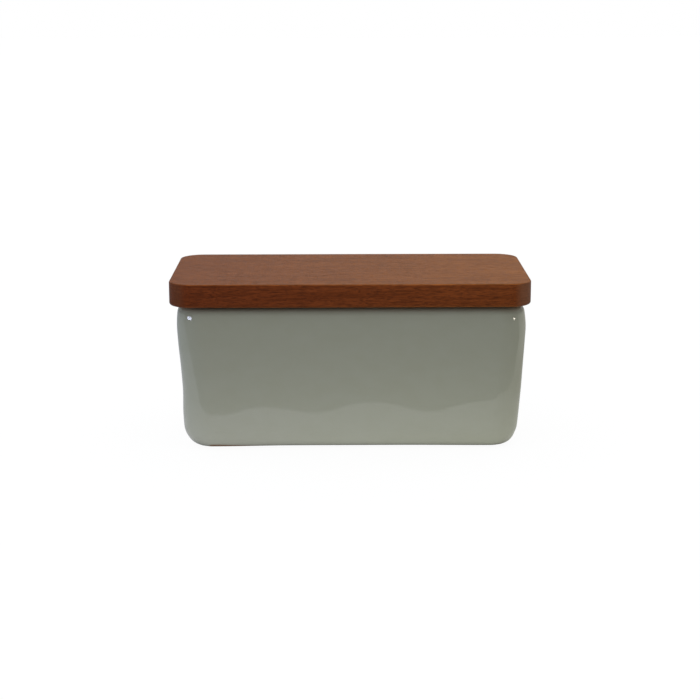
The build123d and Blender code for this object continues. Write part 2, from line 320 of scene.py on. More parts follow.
wood = {
    # the grain's patterns, each with its detail and roughness
    "bands": ((0.03, 0.8, 1.1), 3.0, 0.6),         # 33 mm long and about 1 mm wide
    "fibres": ((0.15, 9.5, 9.5), 4.0, 0.6),        # 7 mm long and 0.1 mm wide
    "pores": ((0.25, 10.0, 10.0), 1.0, 0.4),       # 4 mm long and 0.1 mm wide
    "growth": ((0.02, 0.25, 3.0), 3.0, 0.6),       # the year's growth, seen on the cut ends
    "growthLean": -9,
    "drift": (0.06, 0.15, 0.15), "driftReach": 1.2,    # how the grain wanders off straight
    "lean": (0, 0.6, 1.2),                         # the board isn't sawn quite along the grain
    "bandColours": ((0.25, "#69371B"), (0.45, "#763E1F"), (0.62, "#824624"), (0.8, "#713C1E")),
    "leftTone": (0.9, 0.88, 0.9), "rightTone": (1.14, 1.28, 1.09),   # darker left, paler right
    "shadedSideTone": (0.9, 0.75, 0.73), "litLevelTone": (1.24, 1.39, 1.12),   # painted light: faces that lie level are lighter and standing sides darker, as if lit from above
    "fibreTone": 0.18, "fibreDepth": 0.03, "growthTone": 0.2,
    "pore": "#2C120A", "poreFrom": 0.56, "poreTo": 0.64, "poreStrength": 0.6, "poreDepth": 0.06,
    # painted light: the upper arris is paler by this share, a painted highlight, and the lower one darker
    # by this part of it, painted shade
    "arrisHighlightAndShade": 0.32, "lowerArrisShade": 0.4,
    "endGrain": ("#663A23", "#794F37"), "endGrainStrength": 0.85,
    "endGrainFrom": 0.25, "endGrainTo": 0.55,      # how far a face turns sideways to show it
    "roughness": 0.42, "roughnessSpread": 0.06, "ior": 1.4, "specular": 0.08,
}


def grainDirection(add, place):
    # places on the board, leaning and wandering as its grain does
    scaled = add("Mapping", {"Vector": place, "Scale": perMetre(wood["drift"])})
    drift = add("TexNoise", {"Vector": scaled, "Scale": 1.0, "Detail": 2.0})
    centred = add("VectorMath", {0: drift.outputs["Color"], 1: (0.5, 0.5, 0.5)}, operation="SUBTRACT")
    reach = wood["driftReach"] * mm
    shift = add("VectorMath", {0: centred, 1: (0, reach, reach)}, operation="MULTIPLY")
    moved = add("VectorMath", {0: place, 1: shift}, operation="ADD")
    return add("Mapping", {
        "Vector": moved, "Rotation": [math.radians(angle) for angle in wood["lean"]]})


def arrisHighlightAndShade(add, upward, upright):
    # 1 on faces and edges, more on the upper arris as a painted highlight and less on the lower one as
    # painted shade
    aslant = add("Math", {0: 1.0, 1: upright}, operation="SUBTRACT")
    lower = add("Math", {0: upward, 1: wood["lowerArrisShade"]}, operation="MULTIPLY")
    either = add("Math", {0: upward, 1: lower}, operation="MAXIMUM")
    aslant = add("Math", {0: aslant, 1: either}, operation="MULTIPLY")
    # that product peaks at a quarter, halfway round
    return add("Math", {0: aslant, 1: 4 * wood["arrisHighlightAndShade"], 2: 1.0}, operation="MULTIPLY_ADD")


def oiledAcacia():
    # acacia board, planed, sanded and oiled: long fibres, short dark pores and darker bands
    made, add, place = startMaterial("sanded and oiled acacia")
    along = grainDirection(add, place)
    grain = {}
    for name, source, turn in (("bands", along, 0), ("fibres", along, 0), ("pores", along, 0),
                               ("growth", place, wood["growthLean"])):
        cells, detail, roughness = wood[name]
        scaled = add("Mapping", {
            "Vector": source, "Scale": perMetre(cells), "Rotation": (math.radians(turn), 0, 0)})
        grain[name] = add("TexNoise", {
            "Vector": scaled, "Scale": 1.0, "Detail": detail, "Roughness": roughness})
    across = add("MapRange", {      # 0 at the left end, 1 at the right
        "Value": add("SeparateXYZ", {"Vector": place}).outputs["X"],
        "From Min": lidLow.x, "From Max": lidHigh.x})
    facing = add("SeparateXYZ", {"Vector": add("NewGeometry").outputs["Normal"]}).outputs
    upright = add("Math", {0: facing["Z"]}, operation="ABSOLUTE")
    bands = add("ValToRGB", {"Fac": grain["bands"]}, stops=wood["bandColours"])
    fibreTone = add("MapRange", {
        "Value": grain["fibres"], "From Min": 0.25, "From Max": 0.75,
        "To Min": 1 - wood["fibreTone"], "To Max": 1 + wood["fibreTone"]})
    toned = add("VectorMath", {0: bands, "Scale": fibreTone}, operation="SCALE")
    # the second pair is painted light: faces that lie level are lighter and standing sides darker, as if
    # lit from above
    for share, low, high in ((across, "leftTone", "rightTone"), (upright, "shadedSideTone", "litLevelTone")):
        tone = add("Mix", {
            "Factor": share, "A": (*wood[low], 1), "B": (*wood[high], 1)}, data_type="RGBA")
        toned = add("VectorMath", {0: toned, 1: tone}, operation="MULTIPLY")
    # painted highlight on the upper arris and painted shade on the lower one
    paintedArrisTone = arrisHighlightAndShade(add, facing["Z"], upright)
    toned = add("VectorMath", {0: toned, "Scale": paintedArrisTone}, operation="SCALE")
    pore = add("MapRange", {
        "Value": grain["pores"], "From Min": wood["poreFrom"], "From Max": wood["poreTo"]})
    poreTone = add("Math", {0: pore, 1: wood["poreStrength"]}, operation="MULTIPLY")
    colour = add("Mix", {
        "Factor": poreTone, "A": toned, "B": linearColour(wood["pore"])}, data_type="RGBA")
    sideways = add("Math", {0: facing["X"]}, operation="ABSOLUTE")
    endGrain = add("MapRange", {
        "Value": sideways, "From Min": wood["endGrainFrom"], "From Max": wood["endGrainTo"],
        "To Max": wood["endGrainStrength"]})
    leftEnd, rightEnd = (linearColour(code) for code in wood["endGrain"])
    cutEnds = add("Mix", {"Factor": across, "A": leftEnd, "B": rightEnd}, data_type="RGBA")
    growthTone = add("MapRange", {
        "Value": grain["growth"], "From Min": 0.3, "From Max": 0.7,
        "To Min": 1 - wood["growthTone"], "To Max": 1 + wood["growthTone"]})
    endTone = add("Math", {0: fibreTone, 1: growthTone}, operation="MULTIPLY")
    cutEnds = add("VectorMath", {0: cutEnds, "Scale": endTone}, operation="SCALE")
    colour = add("Mix", {"Factor": endGrain, "A": colour, "B": cutEnds}, data_type="RGBA")
    relief = add("Math", {0: pore, 1: -wood["poreDepth"]}, operation="MULTIPLY")
    relief = add("Math", {
        0: grain["fibres"], 1: wood["fibreDepth"], 2: relief}, operation="MULTIPLY_ADD")
    roughness = add("MapRange", {
        "Value": grain["fibres"], "To Min": wood["roughness"] - wood["roughnessSpread"],
        "To Max": wood["roughness"] + wood["roughnessSpread"]})
    return finishMaterial(made, add, relief, 1.0, {      # that relief is in millimetres already
        "Base Color": colour, "Roughness": roughness, "IOR": wood["ior"],
        "Specular IOR Level": wood["specular"]})


steel = {"dark": "#A9A8A4", "light": "#C4C3BF", "roughLow": 0.22, "roughHigh": 0.4,
         "brushed": (0.25, 30.0, 30.0),      # lines 4 mm long and 0.03 mm wide
         "turned": (12.5, 12.5, 12.5),       # tool marks 0.08 mm wide
         "lineDepth": 0.004}


def satinSteel(name, lines):
    # stainless steel with fine tool lines, bright but a little spread in what it mirrors
    made, add, place = startMaterial(name)
    scaled = add("Mapping", {"Vector": place, "Scale": perMetre(lines)})
    worked = add("TexNoise", {"Vector": scaled, "Scale": 1.0, "Detail": 3.0, "Roughness": 0.7})
    tint = add("ValToRGB", {"Fac": worked}, stops=((0.3, steel["dark"]), (0.7, steel["light"])))
    roughness = add("MapRange", {
        "Value": worked, "To Min": steel["roughLow"], "To Max": steel["roughHigh"]})
    return finishMaterial(made, add, worked, steel["lineDepth"], {
        "Base Color": tint, "Metallic": 1.0, "Roughness": roughness})


fibre = {"dark": "#1B1917", "light": "#2C2926", "roughness": 0.8, "ior": 1.5,
         "felt": 15.0, "feltDepth": 0.02}    # matted fibres 0.07 mm wide


def pressedFibre():
    # vulcanised fibre, pressed and punched: dull, dark, with a faint felted grain
    made, add, place = startMaterial("pressed vulcanised fibre")
    felt = add("TexNoise", {
        "Vector": place, "Scale": fibre["felt"] / mm, "Detail": 5.0, "Roughness": 0.7})
    tint = add("ValToRGB", {"Fac": felt}, stops=((0.3, fibre["dark"]), (0.7, fibre["light"])))
    return finishMaterial(made, add, felt, fibre["feltDepth"], {
        "Base Color": tint, "Roughness": fibre["roughness"], "IOR": fibre["ior"]})


silicone = {"dark": "#C3C0B6", "light": "#D2CFC6", "roughness": 0.42, "ior": 1.41,
            "haze": 1.25, "hazeDepth": 0.02,    # cloudy patches 0.8 mm across
            "milkiness": 0.4, "lightReach": (1.2, 1.1, 1.0)}


def mouldedSilicone():
    # food-grade silicone, moulded: milky, with light passing into the edges
    made, add, place = startMaterial("moulded milky silicone")
    haze = add("TexNoise", {"Vector": place, "Scale": silicone["haze"] / mm, "Detail": 2.0})
    tint = add("ValToRGB", {"Fac": haze}, stops=((0.3, silicone["dark"]), (0.7, silicone["light"])))
    return finishMaterial(made, add, haze, silicone["hazeDepth"], {
        "Base Color": tint, "Roughness": silicone["roughness"], "IOR": silicone["ior"],
        "Subsurface Weight": silicone["milkiness"], "Subsurface Scale": 1.0,
        "Subsurface Radius": [reach * mm for reach in silicone["lightReach"]]})


glazeFinish = glazeOnStoneware()
woodFinish = oiledAcacia()
leafSteel = satinSteel("stainless steel brushed along the leaf", steel["brushed"])
turnedSteel = satinSteel("bright turned stainless steel", steel["turned"])
fibreFinish = pressedFibre()
siliconeFinish = mouldedSilicone()
print("materials made")


# hinges, bolts and screws: the sizes that their holes and beds follow

hingeShape = {
    "fromEnd": 32.0, "length": 25.0, "boxReach": 12.0, "lidReach": 13.0,
    "leafThickness": 0.7, "padThickness": 0.4, "knuckleRadius": 1.45, "pinHead": 0.3,
    "seatMargin": 0.8, "seatDepth": 1.4, "seatCorner": 1.5,
    "bedMargin": 0.05, "bedCorner": 1.0, "barrelClearance": 0.4,
    "boltSpacing": 15.0, "boltEdge": 4.8, "boltClearance": 0.55,
    "spotfaceMargin": 0.7, "spotfaceDepth": 0.3,
    "screwSpacing": 15.0, "screwEdge": 3.7, "screwClearance": 0.02,
}
boltShape = {"radius": 1.25, "headRadius": 2.35, "headHeight": 1.6, "headEdge": 0.45,
             "tip": 0.2, "underEdge": 0.06, "socketFlats": 1.5, "socketDepth": 0.9,
             "socketMouth": 0.95, "mouthIn": 0.1, "mouthLow": 0.12, "flatsLow": 0.14}
washerShape = {"hole": 1.35, "fibreRadius": 3.5, "fibreThickness": 0.8, "steelRadius": 3.0,
               "steelThickness": 0.5, "edge": 0.08}
nutShape = {"flats": 5.0, "hexHeight": 2.2, "chamfer": 0.3, "chamferIn": 0.45, "height": 4.6,
            "crownRadius": 2.2, "crownFoot": (0.1, 0.08), "endWall": 1.3,
            "bore": 1.27, "boreEdge": 0.15, "boreDepth": 3.4}
screwShape = {"radius": 1.1, "headRadius": 2.0, "headHeight": 0.9, "headEdge": (0.08, 0.06),
              "length": 8.4, "pointLength": 2.0, "pointRadius": 0.3,
              "crossWidth": 0.5, "crossLength": 2.2, "crossDepth": 0.5}
hingeX = (lidHigh.x - lidLow.x) / mm / 2 - hingeShape["fromEnd"]
boltZ = pinHeight - hingeShape["boxReach"] + hingeShape["boltEdge"]
screwY = pinBack - hingeShape["lidReach"] + hingeShape["screwEdge"]


def holeXs(spacing):
    return [side * hingeX + hand * spacing / 2 for side in (-1, 1) for hand in (-1, 1)]


# stoneware box

boxShape = {
    "length": (boxHigh.x - boxLow.x) / mm,
    "depth": (boxHigh.y - boxLow.y) / mm,
    "height": boxHigh.z / mm,
    "cornerRadius": 12.0,
    "widestDrop": 9.0, "wallLean": 3.2, "shoulderLean": 7.0, "shoulderRadius": 3.2,
    "baseRadius": 9.0,
    "rimWall": 6.0, "rimRounding": 0.9,
    "cavityRadius": 9.0, "cavityDraft": 1.5, "cavityCove": 5.0, "floor": 5.5,
    "footHeight": 0.5, "footInset": 1.3, "footRadius": 7.0, "footLand": 4.5, "footRecess": 1.5,
    "footEdge": 0.3,
    "growthFrom": 57.0, "cornerGrowth": 0.08, "growthEase": 10.0,   # the corners widen downwards
    "columns": (62, 24), "turns": 36,       # quads along the long and short sides, and a corner
    # unevenness of the cast wall: how far it stands back at places along X, and between which
    # heights
    "waveMarks": ((-72, 0), (-55, 0.22), (-38.5, -0.2), (-14.5, 0.22), (8, -0.38), (32.5, 0.31),
                  (57, -0.24), (72, -0.1), (72, 0)),
    "waveLow": 8.0, "waveHigh": 44.0,
    # how far the fired ends sank, left and right, from where to where along X, and up to where
    "sag": (0.38, 0.22), "sagAcross": (22.0, 60.0), "sagHeight": 10.0,
    # how far the two ends stand to the right of a true casting, at heights above the table
    "leftMarks": ((0, -0.5), (5, 0), (12, 0), (27, 0.8), (34, 0.8), (46, 0.55), (60, 0.55),
                  (62.1, 0)),
    "rightMarks": ((0, 1.7), (6, 0.45), (16, 0.6), (26, 0.78), (40, 0.68), (50, 0.62), (62.1, 0.2)),
    "endsFrom": 20.0, "endsTo": 61.0,       # and where along X that sets in
}
# the washers stand on flats sunk into the chamber's back wall
spotfaceY = boxShape["depth"] / 2 - boxShape["rimWall"] + hingeShape["spotfaceDepth"]
# cutters start and end here, well clear of the wall and the rim, or this far past a face
cutFront, cutBack, cutTop, overcut = 20.0, 50.0, 80.0, 1.0


def kept(part):
    # no less than 0 and no more than 1
    return min(max(part, 0), 1)


def eased(part):
    # from 0 to 1, level at both ends
    return (1 - math.cos(math.pi * kept(part))) / 2


def between(marks, place):
    # eased from each mark to the next, and level before the first and after the last
    for (start, first), (end, last) in zip(marks, marks[1:]):
        if start <= place < end:
            return first + (last - first) * eased((place - start) / (end - start))
    return marks[0][1] if place < marks[0][0] else marks[-1][1]


def wallWave(x, z):
    # how far the cast wall stands proud of a true one, in millimetres
    s = boxShape
    part = kept((z - s["waveLow"]) / (s["waveHigh"] - s["waveLow"]))
    return -between(s["waveMarks"], x) * (1 - math.cos(2 * math.pi * part)) / 2


def endShift(x, z):
    # how far right the cast ends stand, in millimetres
    s = boxShape
    across = kept((abs(x) - s["endsFrom"]) / (s["endsTo"] - s["endsFrom"]))
    return across * between(s["leftMarks"] if x < 0 else s["rightMarks"], z)


def baseSag(x, z):
    # how far the fired base hangs down towards its two ends, in millimetres
    s = boxShape
    start, end = s["sagAcross"]
    most = s["sag"][0] if x < 0 else s["sag"][1]
    upward = (z - s["footHeight"]) / (s["sagHeight"] - s["footHeight"])
    return most * eased((abs(x) - start) / (end - start)) * (1 - eased(upward))


# The outlines are (radius, height) pairs, with the radius from a corner's centre in plan.

def wallOutline():
    # the turn of the base, the leaning wall, the belly and the shoulder, and where the base's
    # flat ends
    s = boxShape
    lean, tilt = math.radians(s["wallLean"]), math.radians(s["shoulderLean"])
    turn, shoulder = s["baseRadius"], s["shoulderRadius"]
    belly = (s["widestDrop"] - shoulder * (1 - math.sin(tilt))) / math.sin(tilt)
    bellyX, bellyZ = s["cornerRadius"] - belly, s["height"] - s["widestDrop"]
    shoulderX = bellyX + (belly - shoulder) * math.cos(tilt)
    wallTop = (bellyX + belly * math.cos(lean), bellyZ - belly * math.sin(lean))
    turnZ = s["footHeight"] + turn * (1 - math.sin(lean))
    wallFoot = (wallTop[0] - (wallTop[1] - turnZ) * math.tan(lean), turnZ)
    baseX = wallFoot[0] - turn * math.cos(lean)
    outline = arc((baseX, s["footHeight"] + turn), turn, -90, -s["wallLean"], 12)
    outline += line(wallFoot, wallTop, 24)
    outline += arc((bellyX, bellyZ), belly, -s["wallLean"], s["shoulderLean"], 20)
    outline += arc((shoulderX, s["height"] - shoulder), shoulder, s["shoulderLean"], 90, 16)[1:]
    return outline, baseX


def chamberOutline():
    # the lip, the drafted inner wall and the cove at the floor
    s = boxShape
    edge, cove = s["rimRounding"], s["cavityCove"]
    edgeZ = s["height"] - edge
    lip = arc((s["cavityRadius"] + edge, edgeZ), edge, 90, 180, 6)
    coveX = s["cavityRadius"] - cove
    coveX -= (edgeZ - s["floor"] - cove) * math.tan(math.radians(s["cavityDraft"]))
    turn = arc((coveX, s["floor"] + cove), cove, 0, -90, 8)
    return lip + line(lip[-1], turn[0], 16) + turn


def footOutline():
    # from the recess under the box, over the foot ring's land, to the ring's outer side
    s = boxShape
    outer, edge = s["footRadius"], s["footEdge"]
    inner = outer - s["footLand"]
    return [(inner, s["footRecess"]), (inner, edge), (inner + edge, 0), (outer - edge, 0),
            (outer, edge), (outer, s["footHeight"])]


def boxRings():
    # every ring of the box, and which of them are the outer wall's
    s = boxShape
    grid = (s["columns"], s["turns"])
    foot, chamber = footOutline(), chamberOutline()
    wall, baseX = wallOutline()
    inwards = 2 * (s["cornerRadius"] - baseX + s["footInset"])
    under = ringStations(s["length"] - inwards, s["depth"] - inwards, s["footRadius"], *grid)
    rings = [(under, foot[0][0] - capStep, s["footRecess"])]
    rings += [(under, r, z) for r, z in foot]
    for r, z in wall:
        below = max(s["growthFrom"] - z, 0)
        growth = s["cornerGrowth"] * below ** 2 / (below + s["growthEase"])
        outer = ringStations(s["length"], s["depth"], s["cornerRadius"] + growth, *grid)
        rings.append((outer, r + growth, z))
    inner = ringStations(s["length"] - 2 * s["rimWall"], s["depth"] - 2 * s["rimWall"],
                         s["cavityRadius"], *grid)
    rings += [(inner, r, z) for r, z in chamber]
    rings.append((inner, chamber[-1][0] - capStep, s["floor"]))
    first = 1 + len(foot)
    return rings, range(first, first + len(wall))


def stonewareBox():
    rings, wallRings = boxRings()
    mesh = sweptShell("glazed_stoneware_box", rings)
    count = len(rings[0][0])
    for r in wallRings:
        for i, (_, _, nx, ny) in enumerate(rings[r][0]):
            vertex = mesh.vertices[r * count + i]
            x, z = vertex.co.x / mm, vertex.co.z / mm
            proud = wallWave(x, z)
            vertex.co += Vector((endShift(x, z) + nx * proud, ny * proud, -baseSag(x, z))) * mm
    shell = looseObject("glazed_stoneware_box", mesh)
    cutAway(shell, seatCutters() + boltHoleCutters())
    smooth(shell.data, sharpFrom=34)
    return settle(shell, "box", glazeFinish, ["stoneware_box"])


def seatCutters():
    # flats that the hinges' box leaves lie on, open at the rim
    h = hingeShape
    seatY = boxShape["depth"] / 2 - h["seatDepth"]
    bottom = pinHeight - h["boxReach"] - h["seatMargin"]
    outline = roundedEnd(h["length"] / 2 + h["seatMargin"], bottom, h["seatCorner"], cutTop)
    return [prism("seat_cutter", outline, "Y", seatY, cutBack, side * hingeX) for side in (-1, 1)]


def boltHoleCutters():
    # the bolt holes through the back wall, and the spotfaces for the washers inside it
    h = hingeShape
    hole = circle(boltShape["radius"] + h["boltClearance"], boltZ, 32)
    spotface = circle(washerShape["fibreRadius"] + h["spotfaceMargin"], boltZ, 48)
    made = []
    for x in holeXs(h["boltSpacing"]):
        made.append(prism("hole_cutter", hole, "Y", cutFront, cutBack, x))
        made.append(prism("spotface_cutter", spotface, "Y", cutFront, spotfaceY, x))
    return made


glazedBox = stonewareBox()
print("stoneware box made:", len(glazedBox.data.polygons), "faces")


# lid board, with the beds that the hinges' lid leaves lie in

lidShape = {
    "length": (lidHigh.x - lidLow.x) / mm,
    "depth": (lidHigh.y - lidLow.y) / mm,
    "underside": lidLow.z / mm,
    "top": lidHigh.z / mm,
    "cornerRadius": 10.0,
    "topRounding": 0.5, "bottomRounding": 1.0,
    "columns": (40, 18), "turns": 16,
}


def lidBoard():
    s = lidShape
    stations = ringStations(s["length"], s["depth"], s["cornerRadius"], s["columns"], s["turns"])
    corner, low, high = s["cornerRadius"], s["bottomRounding"], s["topRounding"]
    outline = arc((corner - low, s["underside"] + low), low, -90, 0, 8)
    outline += arc((corner - high, s["top"] - high), high, 0, 90, 6)
    rings = [(stations, outline[0][0] - capStep, s["underside"])]
    rings += [(stations, r, z) for r, z in outline]
    rings.append((stations, outline[-1][0] - capStep, s["top"]))
    board = looseObject("acacia_lid", sweptShell("acacia_lid", rings))
    cutAway(board, bedCutters() + screwHoleCutters())
    smooth(board.data)
    return settle(board, "lid", woodFinish, ["lid_board"])


def bedCutters():
    # a bed as deep as the leaf, and behind it a channel that clears the knuckles and the pin
    h = hingeShape
    reach, clear, back = h["length"] / 2, h["barrelClearance"], lidShape["depth"]
    bed = roundedEnd(reach + h["bedMargin"], pinBack - h["lidReach"] - h["bedMargin"],
                     h["bedCorner"], back)
    wide, front = reach + h["pinHead"] + clear, pinBack - h["knuckleRadius"] - clear
    channel = [(wide, front), (wide, back), (-wide, back), (-wide, front)]
    leaf, below = h["leafThickness"], lidShape["underside"]
    made = []
    for side in (-1, 1):
        for outline, depth in ((bed, leaf), (channel, leaf + clear)):
            made.append(prism("bed_cutter", outline, "Z", below - overcut, below + depth, side * hingeX))
    return made


def screwHoleCutters():
    s, clear = screwShape, hingeShape["screwClearance"]
    mouth, hole = s["headRadius"] + clear, s["radius"] + clear
    rows = [(mouth, -overcut), (mouth, 0), (hole, s["headHeight"]), (hole, s["length"] + clear)]
    made = []
    for x in holeXs(hingeShape["screwSpacing"]):
        mesh = turned("screw_hole_cutter", rows, columns=32)
        mesh.transform(Matrix.Translation(Vector((x, screwY, lidShape["underside"])) * mm))
        made.append(looseObject("screw_hole_cutter", mesh))
    return made


lidPiece = lidBoard()
print("lid board made:", len(lidPiece.data.polygons), "faces")


# gasket under the lid

gasketShape = {"width": 2.0, "cornerRadius": 8.57, "edge": 0.3, "columns": (40, 18), "turns": 12}


def lidGasket():
    s = gasketShape
    length, depth = (gasketHigh - gasketLow).xy / mm
    outer, edge = s["cornerRadius"] - s["edge"], s["edge"]
    inner = s["cornerRadius"] - s["width"] + edge
    low, high = gasketLow.z / mm + edge, gasketHigh.z / mm - edge
    stations = ringStations(length, depth, s["cornerRadius"], s["columns"], s["turns"])
    rings = []
    for centre, start in (((outer, low), -90), ((outer, high), 0), ((inner, high), 90),
                          ((inner, low), 180)):
        rings += [(stations, r, z) for r, z in arc(centre, edge, start, start + 90, 4)]
    ring = looseObject("silicone_gasket", sweptShell("silicone_gasket", rings, closed=True))
    smooth(ring.data, sharpFrom=50)
    return settle(ring, "lid", siliconeFinish, ["lid_gasket"])


lidGasket()
print("gasket made")


# fasteners, one of each kind, repeated at the hinges' holes

def holePattern():
    # two hinges along X, two holes to a hinge, and one fastener at each hole
    tree = bpy.data.node_groups.new("fasteners at the hinge holes", "GeometryNodeTree")
    sockets = (("Fastener", "NodeSocketGeometry"), ("Middle", "NodeSocketVector"),
               ("Hinge span", "NodeSocketFloat"), ("Hole spacing", "NodeSocketFloat"),
               ("Finish", "NodeSocketMaterial"))
    for name, kind in sockets:
        tree.interface.new_socket(name, in_out="INPUT", socket_type=kind)
    tree.interface.new_socket("Fasteners", in_out="OUTPUT", socket_type="NodeSocketGeometry")
    add = partial(addNode, tree)
    given = add("NodeGroupInput").outputs
    rows = []
    for length, centre in ((given["Hinge span"], given["Middle"]), (given["Hole spacing"], None)):
        step = add("CombineXYZ", {"X": length})
        back = add("VectorMath", {0: step, "Scale": -0.5}, operation="SCALE")
        if centre is not None:
            back = add("VectorMath", {0: back, 1: centre}, operation="ADD")
        rows.append(add("GeometryNodeMeshLine", {"Count": 2, "Start Location": back, "Offset": step}))
    holes = add("GeometryNodeInstanceOnPoints", {"Points": rows[0], "Instance": rows[1]})
    holes = add("GeometryNodeRealizeInstances", {"Geometry": holes})
    placed = add("GeometryNodeInstanceOnPoints", {"Points": holes, "Instance": given["Fastener"]})
    single = add("GeometryNodeRealizeInstances", {"Geometry": placed})
    finished = add("GeometryNodeSetMaterial", {"Geometry": single, "Material": given["Finish"]})
    add("NodeGroupOutput", {"Fasteners": finished})
    return tree


fastenerPattern = holePattern()


def atTheHoles(name, mesh, spacing, body, finish, middle=(0, 0, 0)):
    # one fastener's mesh at all four holes, as one piece
    carrier = looseObject(name, mesh)
    modifier = carrier.modifiers.new("pattern", "NODES")
    modifier.node_group = fastenerPattern
    values = {"Middle": [c * mm for c in middle], "Hinge span": 2 * hingeX * mm,
              "Hole spacing": spacing * mm, "Finish": finish}
    for socket in fastenerPattern.interface.items_tree:
        if socket.name in values:
            modifier[socket.identifier] = values[socket.name]
    baked = evaluated(carrier)
    bpy.data.objects.remove(carrier)
    settle(looseObject(name, baked), body, None, [side + "_" + name for side in ("left", "right")])


def throughTheWall(name, rows, start, finish, way=1, closed=False):
    # turned about Z, then laid along Y from its start towards the back, or the front
    mesh = turned(name, rows, closed)
    mesh.transform(Matrix.Rotation(-way * math.pi / 2, 4, "X"))
    mesh.transform(Matrix.Translation((0, start * mm, boltZ * mm)))
    smooth(mesh)
    atTheHoles(name, mesh, hingeShape["boltSpacing"], "box", finish)


def boxBolts(start, shank):
    # socket screws from behind, through the leaf, the pad and the wall
    s = boltShape
    top, flats = shank + s["headHeight"], s["socketFlats"]
    rows = [(s["radius"] - s["tip"], 0), (s["radius"], s["tip"]), (s["radius"], shank),
            (s["headRadius"] - s["underEdge"], shank), (s["headRadius"], shank + s["underEdge"])]
    rows += arc((s["headRadius"] - s["headEdge"], top - s["headEdge"]), s["headEdge"], 0, 90, 5)
    rows += [(s["socketMouth"], top), (s["socketMouth"] - s["mouthIn"], top - s["mouthLow"], flats),
             (flats, top - s["flatsLow"], flats), (flats, top - s["socketDepth"], flats)]
    throughTheWall("box_bolts", rows, start, turnedSteel)


def washers(name, radius, thickness, start, finish):
    hole, edge = washerShape["hole"], washerShape["edge"]
    rows = [(radius - edge, 0), (radius, edge), (radius, thickness - edge), (radius - edge, thickness),
            (hole + edge, thickness), (hole, thickness - edge), (hole, edge), (hole + edge, 0)]
    throughTheWall(name, rows, start, finish, closed=True)


def capNuts(start):
    # domed cap nuts: a chamfered hexagon under a turned crown, bored from the washer's side
    s = nutShape
    across, chamfer, hexHeight = s["flats"], s["chamfer"], s["hexHeight"]
    corner = across / 2 / math.cos(math.pi / 6)
    crown, (footOut, footUp) = s["crownRadius"], s["crownFoot"]
    rows = [(s["bore"], s["boreDepth"]), (s["bore"], s["boreEdge"]), (s["bore"] + s["boreEdge"], 0),
            (corner - s["chamferIn"], 0, across), (corner, chamfer, across),
            (corner, hexHeight - chamfer, across), (corner - s["chamferIn"], hexHeight, across),
            (crown + footOut, hexHeight), (crown, hexHeight + footUp)]
    rows += arc((0, s["height"] - crown), crown, 0, 88, 12)
    throughTheWall("cap_nuts", rows, start, turnedSteel, way=-1)


def lidScrews():
    # countersunk cross-head screws, up into the lid from its hinge leaves
    s = screwShape
    edgeIn, edgeUp = s["headEdge"]
    rows = [(s["headRadius"] - edgeIn, 0), (s["headRadius"], edgeUp), (s["radius"], s["headHeight"]),
            (s["radius"], s["length"] - s["pointLength"]), (s["pointRadius"], s["length"])]
    screw = looseObject("lid_screws", turned("lid_screws", rows))
    long, wide = s["crossLength"] / 2, s["crossWidth"] / 2
    bars = []
    for x, y in ((long, wide), (wide, long)):
        outline = [(-x, -y), (x, -y), (x, y), (-x, y)]
        bars.append(prism("cross_cutter", outline, "Z", -overcut, s["crossDepth"]))
    cutAway(screw, bars)
    mesh = screw.data
    bpy.data.objects.remove(screw)
    smooth(mesh)
    atTheHoles("lid_screws", mesh, hingeShape["screwSpacing"], "lid", turnedSteel,
               middle=(0, screwY, lidShape["underside"]))


def fasteners():
    h, s = hingeShape, washerShape
    fibreStart = spotfaceY - s["fibreThickness"]
    steelStart = fibreStart - s["steelThickness"]
    shankStart = steelStart - nutShape["height"] + nutShape["endWall"]
    leafFace = boxShape["depth"] / 2 - h["seatDepth"] + h["padThickness"] + h["leafThickness"]
    boxBolts(shankStart, leafFace - shankStart)
    washers("fibre_washers", s["fibreRadius"], s["fibreThickness"], fibreStart, fibreFinish)
    washers("steel_washers", s["steelRadius"], s["steelThickness"], steelStart,
            turnedSteel)
    capNuts(steelStart)
    lidScrews()


fasteners()
print("fasteners made")


# hinges: the leaves, pins and pads keep their solids' shape, with every sharp edge broken

hingeFinish = {"leafEdge": 0.1, "pinEdge": 0.08, "padEdge": 0.06, "sharp": 35}


def brokenEdges(name, node, width):
    # the node's loose triangles are merged in a copy, and its sharp edges are rounded over
    work = bmesh.new()
    work.from_mesh(frame["nodes"][node].data)
    bmesh.ops.remove_doubles(work, verts=work.verts, dist=0.001 * mm)
    bmesh.ops.dissolve_limit(work, angle_limit=math.radians(0.5), verts=work.verts, edges=work.edges)
    limit = math.radians(hingeFinish["sharp"])
    sharp = [e for e in work.edges if len(e.link_faces) == 2 and e.calc_face_angle() > limit]
    bmesh.ops.bevel(work, geom=sharp, offset=width * mm, offset_type="OFFSET", segments=2,
                    profile=0.5, affect="EDGES", clamp_overlap=True)
    mesh = bpy.data.meshes.new(name)
    work.to_mesh(mesh)
    work.free()
    smooth(mesh)
    return steadied(mesh)


def hinges():
    kinds = (("box_leaf", "hinge_box_leaf", "box", "stainless_steel", leafSteel, "leafEdge"),
             ("lid_leaf", "hinge_lid_leaf", "lid", "stainless_steel", leafSteel, "leafEdge"),
             ("hinge_pin", "hinge_pin", "box", "stainless_steel", turnedSteel, "pinEdge"),
             ("pad", "hinge_pad", "box", "fibre", fibreFinish, "padEdge"))
    for side in ("left", "right"):
        for name, kind, body, slot, finish, edge in kinds:
            node = side + "_" + kind
            mesh = brokenEdges(side + "_" + name, node, hingeFinish[edge])
            settle(looseObject(side + "_" + name, mesh), body, finish, [node])


hinges()
print("hinges made")


# floor, lights and camera

